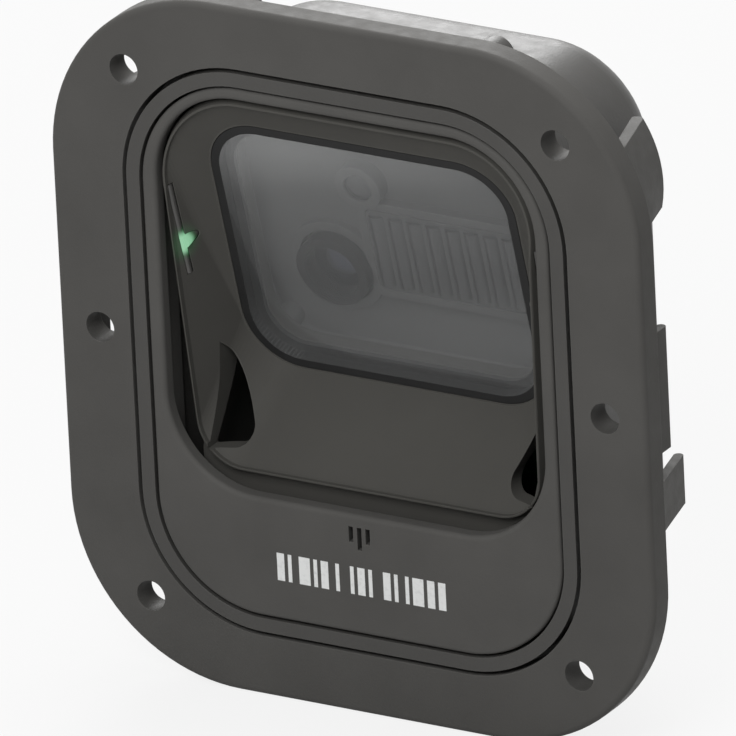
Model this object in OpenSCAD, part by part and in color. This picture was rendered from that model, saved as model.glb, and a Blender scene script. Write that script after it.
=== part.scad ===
// Fixed barcode reader with a panel bezel.
// Forms are drawn as seen from the front: x to the right, y up, z towards the viewer, with z = 0 on
// the back face of the bezel. The upright() module then stands them up: +Z up, front facing -Y.

/* [Reader head] */
// Width of the head's rim
head_w = 77.2; // [74:0.2:82]
// Height of the head's rim
head_h = 93.2; // [90:0.2:98]
// Corner radius of the head's rim
head_corner_r = 20.6; // [19:0.2:22]
// Width of the rim strip that shows round the front cover
rim_w = 2.3; // [2:0.1:2.8]
// Gap between the rim and the front cover
cover_seam = 0.4; // [0.2:0.05:0.6]

/* [Bezel] */
// Gap between the bezel's opening and the head
bezel_seam = 0.7; // [0.4:0.05:1]
// Width of the bezel at each side of its opening
border_x = 12.7; // [12:0.1:16]
// Height of the bezel above and below its opening
border_y = 10.1; // [9.5:0.1:14]
// Corner radius of the bezel outline
bezel_corner_r = 29; // [27:0.5:32]
// Thickness of the bezel plate
bezel_t = 4.5; // [4:0.25:6]
// Rounding of the bezel's front edge
bezel_edge_r = 1; // [0.6:0.1:2]
// Radius of the six fixing holes
fixing_r = 2.5; // [2:0.1:2.8]
// Distance of the fixing holes from the bezel's edge
fixing_inset = 7.25; // [6.75:0.05:7.75]
// Distance of the ears from the bezel's edge
ear_inset = 5.1; // [4.5:0.1:5.7]
// Thickness of the ears
ear_t = 1.6; // [1.2:0.1:2]
// Inward lean of the ears in degrees
ear_lean = 13; // [8:1:16]
// Length of the long ears behind the bezel
ear_l = 22; // [16:0.5:25]
// Length of the short ears at mid height
short_ear_l = 5.9; // [4:0.1:9]

/* [Rear housing] */
// Step of the rear body inside the rim at the sides
body_step_x = 1; // [0.5:0.1:1.4]
// Shoulder of the rear body above and below the rim
shoulder = 1.9; // [1.6:0.1:2.4]
// Corner radius of the rear body
body_corner_r = 19; // [17:0.5:21]
// Depth of the rear body behind the bezel
body_depth = 33; // [32:0.5:44]
// Draft of the rear body in degrees
body_draft = 4; // [2:0.5:5]
// Rounding of the rear body's back edge
body_edge_r = 7; // [5:0.5:9]
// Wall of the rear housing
body_wall = 2.2; // [1.8:0.1:2.6]

/* [Front cover] */
// Thickness of the cover plate
cover_t = 2.4; // [2:0.1:3]
// Rounding of the cover's front edge
cover_edge_r = 0.6; // [0.3:0.1:0.9]
// Thickness of the skirt
skirt_t = 1.5; // [1.2:0.1:1.8]
// Cover strip at each side of the recess
cover_side = 2.4; // [2:0.1:3]
// Cover strip above the recess
cover_top = 1.9; // [1.7:0.1:3]
// Height of the plain chin below the recess
chin_h = 19.9; // [19:0.1:23]
// Corner radius of the recess
recess_r = 15; // [13:0.5:16]
// Rounding of the recess edge
recess_edge = 0.8; // [0.4:0.1:1.2]

/* [Reading recess] */
// Window width
win_w = 51; // [48:0.5:52]
// Window length along its slope
win_h = 43; // [41:0.5:44]
// Corner radius of the window
win_r = 8; // [6:0.5:10]
// Thickness of the window
win_t = 2; // [1.5:0.1:2.5]
// Tilt of the window in degrees, top edge forward
win_tilt = 14.4; // [12:0.2:16]
// Depth of the window's top edge behind the cover
hood_depth = 4.3; // [4:0.1:5.5]
// Drop of the window's top edge below the recess edge
hood_drop = 7; // [6.5:0.1:8]
// Width of the gasket border round the window
gasket_border = 1.5; // [1:0.1:1.8]
// Gap under the window frame at the bottom of the recess
ramp_gap = 1.6; // [1.2:0.1:2]
// Setback of the ramp's front edge behind the mouth's top edge
mouth_rake = 3; // [2.6:0.1:3.6]
// Wall of the window frame
frame_wall = 1.8; // [1.5:0.1:2.2]
// Radius of the light pipes
pipe_r = 1; // [0.7:0.05:1.1]

/* [Optics] */
// Depth of the optics chassis
chassis_l = 5; // [4.5:0.1:6]
// Place of the camera across the window
cam_x = -13; // [-14:0.5:-11]
// Place of the camera along the window
cam_y = -8; // [-9:0.5:-6]
// Radius of the lens barrel
barrel_r = 6.2; // [5:0.1:6.6]
// Width of the illumination lens
lamp_w = 27; // [22:0.5:29]
// Height of the illumination lens
lamp_h = 15; // [12:0.5:17]

/* [Electronics] */
// Width of the main board
board_w = 58; // [54:0.5:60]
// Height of the main board
board_h = 62; // [58:0.5:66]
// Thickness of the circuit boards
pcb_t = 1.2; // [0.8:0.1:1.6]
// Height of the main board's standoffs
standoff_h = 2.2; // [1.6:0.1:2.6]
// Width of the interface jack
jack_w = 16; // [14:0.5:17]
// Height of the interface jack off the board
jack_t = 13; // [11:0.5:14]
// Length of the interface jack
jack_l = 21; // [19:0.5:23]
// Radius of the beeper
beeper_r = 7; // [6:0.25:7.5]

/* [Hidden] */
$fn = 64;

// Fits that several pieces share
slip = 0.1;        // sliding clearance at each side
thread_gap = 0.05; // radial clearance of a screw in its hole
bore_run = 0.3;    // depth of a screw hole past its screw
over = 1;          // overshoot of a cut past the face it opens

// Head and bezel
front_z = bezel_t;
opening_w = head_w + 2 * bezel_seam;
opening_h = head_h + 2 * bezel_seam;
opening_r = head_corner_r + bezel_seam;
bezel_w = opening_w + 2 * border_x;
bezel_h = opening_h + 2 * border_y;
corner_x = bezel_w / 2 - bezel_corner_r;
corner_y = bezel_h / 2 - bezel_corner_r;
fixing_angle = 46;
fixings = [
    for (sx = [-1, 1], sy = [-1, 1]) [
        sx * (corner_x + (bezel_corner_r - fixing_inset) * cos(fixing_angle)),
        sy * (corner_y + (bezel_corner_r - fixing_inset) * sin(fixing_angle))
    ],
    for (sx = [-1, 1]) [sx * (bezel_w / 2 - fixing_inset), 0]
];

// Ears: a turned pair on the upper corners with level tops, an upright pair at the edge beside the
// side holes, and a straight pair low down
ear_turn = [-12, 60];
ear_drop = 5.3;
ear_top = fixings[1][1] - ear_drop;
mid_ear_y = [-7.5, 12.5];
mid_ear_inset = 1.5;
low_ear_y = [-24.5, -16.5];
low_ear_step = 1.4;
low_ear_inset = ear_inset - low_ear_step;

// Rear housing
rim_back = -1.2;
shoulder_t = 2.4;
body_w = head_w - 2 * body_step_x;
body_h = head_h + 2 * shoulder;
rim_in_w = head_w - 2 * rim_w;
rim_in_h = head_h - 2 * rim_w;
rim_in_r = head_corner_r - rim_w;
back_z = body_wall - body_depth;

// Lugs that screw the head to bosses behind the bezel
lug_x = 22;
lug_boss_r = 3;
lug_boss_l = 4.5;
lug_t = 2.6;
lug_gap = 0.7;
lug_y = body_h / 2 + lug_boss_r + lug_gap;
lug_screw_r = 1.25;
lug_screw_l = 6.5;

// Front cover and its recess
cover_w = rim_in_w - 2 * cover_seam;
cover_h = rim_in_h - 2 * cover_seam;
cover_r = rim_in_r - cover_seam;
cover_back = front_z - cover_t;
recess_w = cover_w - 2 * cover_side;
recess_top = cover_h / 2 - cover_top;
recess_bottom = chin_h - cover_h / 2;
recess_h = recess_top - recess_bottom;
recess_y = (recess_top + recess_bottom) / 2;
skirt_back = slip - shoulder_t;
hook_x = 12;
hook_w = 8;
hook_h = 1;
hook_t = 1.3;
hook_back = -shoulder_t - slip - hook_t;

// Window, gasket and the frame that holds them
win_y = recess_top - hood_drop - win_h / 2 * cos(win_tilt);
win_z = front_z - hood_depth - win_h / 2 * sin(win_tilt);
pocket_w = win_w + 2 * gasket_border;
pocket_h = win_h + 2 * gasket_border;
pocket_r = win_r + gasket_border;
gasket_floor = 0.8;
gasket_step = 1.5;
pocket_l = win_t + gasket_floor;
lip_t = 2.4;
lip_w = 1.7;
lip_grip = 1.6;
lip_back = -pocket_l - lip_t;
frame_clear = 0.3;
pocket_ledge = 0.3;
loft_fn = 72;
mouth_setback = 0.8;
mouth_wall = 1;
mouth_edge = 0.35;
mouth_l = 0.8;
mouth_bevel = 0.8;
mouth_z = front_z - mouth_setback;
bevel_z = mouth_z - mouth_l - mouth_bevel;
mouth_narrow = 2;
mouth_low_r = 8.5;
mouth_half_w = recess_w / 2 - frame_clear - mouth_wall;
foot_t = 1.6;
foot_z = -0.9;
foot_side = 3;
foot_w = recess_w - 2 * foot_side;
foot_edge = 0.4;
foot_lap = 8;
foot_r = 4;
frame_screw_x = 20;
frame_screw_drop = 4.2;
frame_screw_y = recess_bottom - frame_screw_drop;
frame_screw_r = 0.9;
frame_screw_grip = 1;
frame_screw_run = cover_back - foot_z + frame_screw_grip;
frame_boss_r = 2.6;

// Right-hand wall of the recess: a facet from the mouth's straight edge to the window's low corner
wall_top = [mouth_half_w, recess_top - recess_r, mouth_z - mouth_l];
wall_low = [
    mouth_half_w - mouth_narrow,
    recess_bottom + ramp_gap + mouth_low_r,
    mouth_z - mouth_l - mouth_rake
];
wall_deep = [
    pocket_w / 2 + pocket_ledge,
    win_y - (pocket_h / 2 - pocket_r) * cos(win_tilt),
    win_z - (pocket_h / 2 - pocket_r) * sin(win_tilt)
];
wall_cross = cross(wall_low - wall_top, wall_deep - wall_top);
wall_out = wall_cross / norm(wall_cross);

// Slots between the ramp and the side walls
side_slot_land = 1.4;
side_slot_drop = 4.3;
side_slot_sill = 2.2;
side_slot_x = wall_low[0] - side_slot_land;
side_slot_top = wall_deep[1] - side_slot_drop;
side_slot_low = recess_bottom + ramp_gap + mouth_wall + side_slot_sill;
side_slot_r = 2.4;
side_slot_reach = 3.5;
side_slot_back = -16;

// Light pipes: a slim rod sunk in the side wall, placed by shares of the way down the wall's edge
// and of the way in to the window
rod_r = 0.7 * pipe_r;
rod_sink = 0.8 * rod_r;
rod_from = [0.032, 0.02];
rod_to = [0.3075, 0.18];
rod_top = wall_point(rod_from);
rod_end = wall_point(rod_to);
pipe_lit = 0.66;
pipe_lit_at = rod_top + pipe_lit * (rod_end - rod_top);
pipe_led_y = (pipe_lit_at[1] - win_y) * cos(win_tilt) + (pipe_lit_at[2] - win_z) * sin(win_tilt);
pipe_lit_z = (pipe_lit_at[2] - win_z) * cos(win_tilt) - (pipe_lit_at[1] - win_y) * sin(win_tilt);

// Optics, measured from the front face of the window
chassis_wall = 1.6;
chassis_floor = 1.4;
chassis_back = lip_back - chassis_l;
floor_front = chassis_back + chassis_floor;
chassis_lap = 1;
chassis_w = pocket_w + 2 * chassis_lap;
chassis_h = pocket_h + 2 * chassis_lap;
chassis_r = pocket_r + chassis_lap;
chassis_screw_inset = 3.3;
chassis_screw_x = pocket_w / 2 - chassis_screw_inset;
chassis_screw_y = pocket_h / 2 - chassis_screw_inset;
chassis_screw_r = 0.8;
chassis_boss_r = 2;
lamp_x = 8;
lamp_y = -3;
lamp_t = 1.6;
lamp_r = 1;
lamp_rest = 2;
aimer_x = -5.5;
aimer_y = 9;
aimer_r = 2.4;
aimer_t = 3;
aimer_rest = 0.6;
aimer_proud = 0.6;
aimer_led_r = 1.6;
led_t = 1;
pip_w = 1.6;
pcb_r = 2;
lamp_board_back = chassis_back - pcb_t;
lamp_board_w = 50;
lamp_board_h = 34;
pipe_clear = 0.4;
pipe_led_x = max(pipe_lit_at[0], chassis_w / 2 + pipe_clear + pipe_r);
wing_h = 8;
wing_end = 1.4;
wing_reach = pipe_led_x + wing_end;
holder_w = 15;
holder_t = 3.4;
holder_roof = 0.8;
barrel_l = 3;
barrel_gap = 0.4;
barrel_ring = 1.2;
port_r = barrel_r + barrel_gap;
barrel_wall = 1.6;
sensor_w = 8;
sensor_t = 1;
sensor_gap = 1;
lens_r = barrel_r - barrel_wall;
lens_rest = 1;
imager_front = lamp_board_back - holder_t;
imager_w = 22;
imager_h = 18;
header_x = 9;
header_w = 2.6;
header_h = 10;

// Main board and what it carries
board_y = 1;
board_back = back_z + standoff_h;
board_front = board_back + pcb_t;
board_hole_inset = 4;
board_hole_x = board_w / 2 - board_hole_inset;
board_hole_y = board_h / 2 - board_hole_inset;
board_screw_r = 1.1;
standoff_r = 3;
board_low = board_y - board_h / 2;
jack_low = -(body_h / 2 - tan(body_draft) * body_depth / 2);
jack_wall = 1.5;
jack_shield = 2.2;
contact_n = 8;
contact_pitch = 1.02;
flex_w = 10;
flex_t = 0.3;
connector_t = 1.2;
connector_h = 4;
connector_end = 1;
flex_bond = 3;
flex_drop = 9;
chip_t = 1.3;
cpu_x = 14;
cpu_rise = 14;
cpu_w = 12;
memory_x = -17;
memory_rise = 12;
memory_w = 9;
memory_h = 6;
memory_gap = 0.5;

// Long screws that pull the cover against the rear housing
cover_screw_x = 24.5;
cover_screw_rise = 8;
cover_screw_y = cover_screw_rise - cover_h / 2;
cover_screw_r = 1.4;
cover_screw_stop = 2;
cover_post_r = 3.4;
cover_post_l = 10;
post_meet = cover_back - cover_post_l;
head_recess_r = 2.9;
head_recess_l = 2;

// Beeper behind the sound slots
beeper_drop = 9;
beeper_y = recess_bottom - beeper_drop;
beeper_t = 5;
beeper_proud = 1;
beeper_port_r = 1.5;
beeper_port_l = 1;
collar_t = 1.2;
slot_w = 0.8;
slot_pitch = 1.5;
slot_l = [2.6, 3.8, 2.6];
slot_drop = 2;
slot_top = recess_bottom - slot_drop;

// Stands a form up: what was towards the viewer faces -Y
module upright() {
    rotate([90, 0, 0])
        children();
}

// Places a form on the sloping plane of the window's front face
module on_window() {
    translate([0, win_y, win_z])
        rotate([win_tilt, 0, 0])
            children();
}

// Repeats a form at the four corners of a rectangle
module at_corners(x, y) {
    for (sx = [-1, 1], sy = [-1, 1])
        translate([sx * x, sy * y, 0])
            children();
}

// Repeats a form at both sides
module both_sides() {
    for (side = [0, 1])
        mirror([side, 0, 0])
            children();
}

// Flat outline with round corners
module rounded_rect(w, h, r) {
    square([w - 2 * r, h], center = true);
    square([w, h - 2 * r], center = true);
    at_corners(w / 2 - r, h / 2 - r)
        circle(r);
}

module slab(w, h, r, t) {
    linear_extrude(t)
        rounded_rect(w, h, r);
}

// Section through a drafted wall whose top edge is rounded, from its corner centre outwards
module edge_section(r, depth, draft, edge_r) {
    lift = depth - edge_r;
    reach = r - lift * tan(draft) - edge_r / cos(draft);
    side = [reach + edge_r * cos(draft), lift + edge_r * sin(draft)];
    polygon([[0, 0], [r, 0], side, [reach, lift], [reach, depth], [0, depth]]);
    translate([reach, lift])
        circle(edge_r);
}

// Block with round corners, drafted sides and a rounded top edge, standing on z = 0
module soft_block(w, h, r, depth, draft, edge_r) {
    a = w / 2 - r;
    b = h / 2 - r;
    translate([-a, -b, 0])
        cube([2 * a, 2 * b, depth]);
    for (quarter = [0:3]) {
        even = quarter % 2 == 0;
        reach = even ? a : b;
        run = even ? b : a;
        rotate(90 * quarter) {
            translate([reach, run, 0])
                rotate([90, 0, 0])
                    linear_extrude(2 * run)
                        edge_section(r, depth, draft, edge_r);
            translate([reach, run, 0])
                rotate_extrude(angle = 90)
                    edge_section(r, depth, draft, edge_r);
        }
    }
}

// Screw with a pan head; its shank runs from z = 0 towards +z and its head sits below
module pan_screw(shank_r, shank_l) {
    head_r = 1.9 * shank_r;
    head_t = 1.2 * shank_r;
    difference() {
        union() {
            cylinder(r = shank_r, h = shank_l);
            translate([0, 0, -head_t])
                cylinder(r1 = 0.8 * head_r, r2 = head_r, h = head_t);
        }
        for (turn = [0, 90])
            rotate(turn)
                translate([-head_r / 2, -shank_r / 5, -head_t - over])
                    cube([head_r, 2 * shank_r / 5, over + head_t / 2]);
    }
}

// Section of an ear from its foot on the bezel to its rounded tip
module ear_section(foot_r, length, lean_angle) {
    lean = length * tan(lean_angle);
    tip_r = ear_t / 2;
    polygon([
        [foot_r - ear_t, -over / 2],
        [foot_r, -over / 2],
        [foot_r - lean, length - tip_r],
        [foot_r - lean - ear_t, length - tip_r]
    ]);
    translate([foot_r - lean - tip_r, length - tip_r])
        circle(tip_r);
}

// Straight ear on the right, over a stretch of heights
module straight_ear(span, inset, length, lean_angle) {
    translate([0, span[0], 0])
        rotate([-90, 0, 0])
            linear_extrude(span[1] - span[0])
                ear_section(bezel_w / 2 - inset, length, lean_angle);
}

// Ear that follows the upper right corner and ends level below the fixing hole
module corner_ear() {
    difference() {
        translate([corner_x, corner_y, 0])
            mirror([0, 0, 1])
                rotate(ear_turn[0])
                    rotate_extrude(angle = ear_turn[1] - ear_turn[0])
                        ear_section(bezel_corner_r - ear_inset, ear_l, ear_lean);
        translate([0, ear_top, -ear_l - over])
            cube([bezel_w / 2, bezel_h / 2, ear_l + 2 * over]);
    }
}

module mounting_bezel() {
    color("#505050")
        upright()
            difference() {
                union() {
                    soft_block(bezel_w, bezel_h, bezel_corner_r, bezel_t, 0, bezel_edge_r);
                    both_sides() {
                        corner_ear();
                        straight_ear(mid_ear_y, mid_ear_inset, short_ear_l, 0);
                        straight_ear(low_ear_y, low_ear_inset, ear_l, ear_lean);
                    }
                    at_corners(lug_x, lug_y)
                        translate([0, 0, -lug_boss_l])
                            cylinder(r = lug_boss_r, h = lug_boss_l + over / 2);
                }
                translate([0, 0, -over])
                    slab(opening_w, opening_h, opening_r, bezel_t + 2 * over);
                for (place = fixings)
                    translate([place[0], place[1], -over])
                        cylinder(r = fixing_r, h = bezel_t + 2 * over);
                at_corners(lug_x, lug_y)
                    translate([0, 0, -lug_boss_l - over])
                        cylinder(r = lug_screw_r + thread_gap, h = lug_screw_l - lug_t + over + bore_run);
            }
}

// Tabs of the rear housing that sit on the bezel's bosses
module housing_lugs() {
    at_corners(lug_x, 0)
        translate([0, 0, -lug_boss_l - lug_t])
            linear_extrude(lug_t)
                difference() {
                    union() {
                        translate([-lug_boss_r, -lug_y])
                            square([2 * lug_boss_r, 2 * lug_y]);
                        for (end = [-1, 1])
                            translate([0, end * lug_y])
                                circle(lug_boss_r);
                    }
                    for (end = [-1, 1])
                        translate([0, end * lug_y])
                            circle(lug_screw_r + 2 * thread_gap);
                }
}

// Hollow of the rear housing, from the rim's mouth to the back wall
module housing_hollow() {
    translate([0, 0, -shoulder_t])
        slab(rim_in_w, rim_in_h, rim_in_r, front_z + shoulder_t + over);
    translate([0, 0, -shoulder_t])
        mirror([0, 0, 1])
            soft_block(
                body_w - 2 * body_wall, body_h - 2 * body_wall, body_corner_r - body_wall,
                body_depth - body_wall - shoulder_t, body_draft, body_edge_r - body_wall
            );
}

module rear_housing() {
    color("#47474a")
        upright()
            difference() {
                union() {
                    difference() {
                        union() {
                            translate([0, 0, rim_back])
                                slab(head_w, head_h, head_corner_r, front_z - rim_back);
                            mirror([0, 0, 1])
                                soft_block(
                                    body_w, body_h, body_corner_r, body_depth, body_draft, body_edge_r
                                );
                            housing_lugs();
                        }
                        housing_hollow();
                    }
                    translate([0, board_y, back_z - over / 2])
                        at_corners(board_hole_x, board_hole_y)
                            cylinder(r = standoff_r, h = standoff_h + over / 2);
                    for (side = [-1, 1])
                        translate([side * cover_screw_x, cover_screw_y, back_z - over / 2])
                            cylinder(r = cover_post_r, h = post_meet - back_z + over / 2);
                }
                translate([0, board_y, back_z - bore_run])
                    at_corners(board_hole_x, board_hole_y)
                        cylinder(r = board_screw_r + thread_gap, h = standoff_h + bore_run + over);
                for (side = [-1, 1])
                    translate([side * cover_screw_x, cover_screw_y, -body_depth - over]) {
                        cylinder(r = cover_screw_r + 2 * thread_gap, h = body_depth + over);
                        cylinder(r = head_recess_r, h = head_recess_l + over);
                    }
                translate([-jack_w / 2 - slip, -body_h / 2 - over, board_front])
                    cube([jack_w + 2 * slip, body_h / 2 + over + jack_low + jack_l, jack_t + slip]);
            }
}

// Opening of the recess with a rounded edge
module recess_cut() {
    translate([0, recess_y, 0]) {
        translate([0, 0, cover_back - over])
            slab(recess_w, recess_h, recess_r, cover_t + 2 * over);
        translate([0, 0, front_z + over])
            mirror([0, 0, 1])
                difference() {
                    slab(
                        recess_w + 2 * recess_edge, recess_h + 2 * recess_edge, recess_r + recess_edge,
                        recess_edge + over
                    );
                    rim_round();
                }
    }
}

// Rounded lip that stays when the recess edge is cut, drawn downwards from the overshoot
module rim_round() {
    a = recess_w / 2 - recess_r;
    b = recess_h / 2 - recess_r;
    for (quarter = [0:3]) {
        even = quarter % 2 == 0;
        reach = even ? a : b;
        run = even ? b : a;
        rotate(90 * quarter) {
            translate([reach, run, 0])
                rotate([90, 0, 0])
                    linear_extrude(2 * run)
                        rim_section();
            translate([reach, run, 0])
                rotate_extrude(angle = 90)
                    rim_section();
        }
    }
}

// Quarter circle of the recess edge, from the corner centre outwards
module rim_section() {
    intersection() {
        translate([recess_r + recess_edge, over + recess_edge])
            circle(recess_edge);
        translate([recess_r, over])
            square(recess_edge);
    }
}

module front_cover() {
    color("#525252")
        upright()
            difference() {
                union() {
                    difference() {
                        union() {
                            translate([0, 0, cover_back])
                                soft_block(cover_w, cover_h, cover_r, cover_t, 0, cover_edge_r);
                            translate([0, 0, skirt_back])
                                slab(cover_w, cover_h, cover_r, cover_back - skirt_back);
                        }
                        translate([0, 0, skirt_back - over])
                            slab(
                                cover_w - 2 * skirt_t, cover_h - 2 * skirt_t, cover_r - skirt_t,
                                cover_back - skirt_back + over
                            );
                    }
                    both_sides()
                        translate([hook_x - hook_w / 2, cover_h / 2 - skirt_t, hook_back]) {
                            cube([hook_w, skirt_t, skirt_back - hook_back + over / 2]);
                            cube([hook_w, skirt_t + cover_seam + hook_h - slip, hook_t]);
                        }
                    for (side = [-1, 1]) {
                        translate([side * cover_screw_x, cover_screw_y, post_meet])
                            cylinder(r = cover_post_r, h = cover_post_l + over / 2);
                        translate([side * frame_screw_x, frame_screw_y, foot_z])
                            cylinder(r = frame_boss_r, h = cover_back - foot_z + over / 2);
                    }
                    translate([0, beeper_y, cover_back - beeper_t + beeper_proud])
                        cylinder(r = beeper_r + slip + collar_t, h = beeper_t - beeper_proud + over / 2);
                }
                translate([0, beeper_y, cover_back - beeper_t])
                    cylinder(r = beeper_r + slip, h = beeper_t);
                translate([-beeper_r - collar_t, slot_top, cover_back - beeper_t])
                    cube([2 * (beeper_r + collar_t), slot_drop, beeper_t]);
                recess_cut();
                for (i = [0:2])
                    translate([(i - 1) * slot_pitch - slot_w / 2, slot_top - slot_l[i], cover_back - over])
                        cube([slot_w, slot_l[i], cover_t + 2 * over]);
                for (side = [-1, 1]) {
                    translate([side * cover_screw_x, cover_screw_y, post_meet - over])
                        cylinder(r = cover_screw_r + thread_gap, h = cover_post_l + over);
                    translate([side * frame_screw_x, frame_screw_y, foot_z - over])
                        cylinder(r = frame_screw_r + thread_gap, h = over + frame_screw_run + bore_run);
                }
            }
}

// Point on the right-hand wall of the recess, from its shares down the edge and in to the window
function wall_point(share) =
    wall_top + share[0] * (wall_low - wall_top) + share[1] * (wall_deep - wall_top);

// Slab of the frame's mouth inside the recess; its lower end is narrower and lies further back
module mouth_slab(inset, from_z, to_z) {
    top_r = recess_r - frame_clear - inset;
    low_r = mouth_low_r - inset;
    top_x = recess_w / 2 - frame_clear - inset - top_r;
    low_x = recess_w / 2 - frame_clear - mouth_narrow - inset - low_r;
    for (side = [-1, 1]) {
        translate([side * top_x, recess_top - frame_clear - inset - top_r, from_z])
            cylinder(r = top_r, h = to_z - from_z);
        translate([side * low_x, recess_bottom + ramp_gap + inset + low_r, from_z - mouth_rake])
            cylinder(r = low_r, h = to_z - from_z);
    }
}

// Lofted outside of the window frame, chamfered to a narrow edge round the mouth
module frame_body() {
    end_w = pocket_w + 2 * frame_wall;
    end_h = pocket_h + 2 * frame_wall;
    hull() {
        mouth_slab(mouth_wall - mouth_edge, mouth_z - mouth_l, mouth_z, $fn = loft_fn);
        mouth_slab(0, bevel_z - mouth_l, bevel_z, $fn = loft_fn);
        on_window()
            translate([0, 0, lip_back])
                slab(end_w, end_h, pocket_r + frame_wall, -lip_back, $fn = loft_fn);
    }
}

// Lofted hollow of the reading recess, down to a narrow ledge round the gasket
module frame_hollow() {
    end_w = pocket_w + 2 * pocket_ledge;
    end_h = pocket_h + 2 * pocket_ledge;
    hull() {
        mouth_slab(mouth_wall, mouth_z - mouth_l, mouth_z + over, $fn = loft_fn);
        on_window()
            slab(end_w, end_h, pocket_r + pocket_ledge, pocket_ledge, $fn = loft_fn);
    }
}

// Flat foot under the ramp, screwed to the cover's bosses and clear of the beeper
module frame_foot() {
    foot_bottom = frame_screw_y - frame_boss_r - foot_edge;
    foot_h = recess_bottom + foot_lap - foot_bottom;
    difference() {
        translate([0, foot_bottom + foot_h / 2, foot_z - foot_t])
            slab(foot_w, foot_h, foot_r, foot_t);
        translate([0, beeper_y, foot_z - foot_t - over])
            difference() {
                cylinder(r = beeper_r + slip + collar_t + frame_clear, h = foot_t + 2 * over);
                translate([-foot_w / 2, slot_top - beeper_y + frame_clear, -over])
                    cube([foot_w, foot_lap, foot_t + 4 * over]);
            }
    }
}

// Slot at the right-hand side of the ramp: upright along the wall, slanting and rounded along the ramp
module side_slot() {
    tip = [side_slot_x, side_slot_top];
    centre = [side_slot_x - side_slot_reach, side_slot_low + side_slot_r];
    way = centre - tip;
    turn = atan2(way[1], way[0]) - asin(side_slot_r / norm(way));
    touch = tip + norm(way) * cos(asin(side_slot_r / norm(way))) * [cos(turn), sin(turn)];
    translate([0, 0, side_slot_back])
        linear_extrude(mouth_z + over - side_slot_back) {
            polygon([tip, touch, [centre[0], side_slot_low], [side_slot_x, side_slot_low]]);
            translate(centre)
                circle(side_slot_r);
        }
}

// Light pipe of the right-hand wall: its rod, and a stem back to the indicator lamp
module pipe_rod(clear) {
    run = rod_end - rod_top;
    translate(rod_top + rod_sink * wall_out)
        rotate([0, acos(run[2] / norm(run)), atan2(run[1], run[0])])
            translate([0, 0, -clear])
                cylinder(r = rod_r + clear, h = norm(run) + 2 * clear);
    stem_back = chassis_back + led_t + frame_clear;
    stem = [pipe_lit_at[0] - pipe_led_x, 0, pipe_lit_z - stem_back];
    on_window()
        translate([pipe_led_x, pipe_led_y, stem_back])
            rotate([0, atan2(stem[0], stem[2]), 0])
                cylinder(r = pipe_r + clear, h = norm(stem));
}

module window_frame() {
    color("#3c3c3c")
        upright()
            difference() {
                union() {
                    frame_body();
                    frame_foot();
                }
                frame_hollow();
                on_window() {
                    translate([0, 0, -pocket_l])
                        slab(pocket_w, pocket_h, pocket_r, pocket_l + pocket_ledge / 2);
                    translate([0, 0, lip_back - over])
                        slab(
                            pocket_w - 2 * gasket_step - 2 * lip_w, pocket_h - 2 * gasket_step - 2 * lip_w,
                            pocket_r - gasket_step - lip_w, lip_t + 2 * over
                        );
                    at_corners(chassis_screw_x, chassis_screw_y)
                        translate([0, 0, lip_back - over])
                            cylinder(r = chassis_screw_r + thread_gap, h = over + lip_grip + bore_run);
                }
                both_sides() {
                    side_slot();
                    pipe_rod(slip);
                    translate([frame_screw_x, frame_screw_y, foot_z - foot_t - over])
                        cylinder(r = frame_screw_r + 2 * thread_gap, h = foot_t + 2 * over);
                }
            }
}

module window_gasket() {
    color("#121212")
        upright()
            on_window()
                translate([0, 0, -pocket_l])
                    difference() {
                        slab(pocket_w - 2 * slip, pocket_h - 2 * slip, pocket_r - slip, pocket_l);
                        translate([0, 0, gasket_floor])
                            slab(win_w, win_h, win_r, pocket_l);
                        translate([0, 0, -over])
                            slab(
                                win_w - 2 * gasket_step, win_h - 2 * gasket_step, win_r - gasket_step,
                                pocket_l + over
                            );
                    }
}

module scan_window() {
    color("#5a5e60", 0.6)
        upright()
            on_window()
                translate([0, 0, -win_t])
                    slab(win_w, win_h, win_r, win_t);
}

module light_pipe_left() {
    color("#8fd8a4")
        upright()
            mirror([1, 0, 0])
                pipe_rod(0);
}

module light_pipe_right() {
    color("#8fd8a4")
        upright()
            pipe_rod(0);
}

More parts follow.
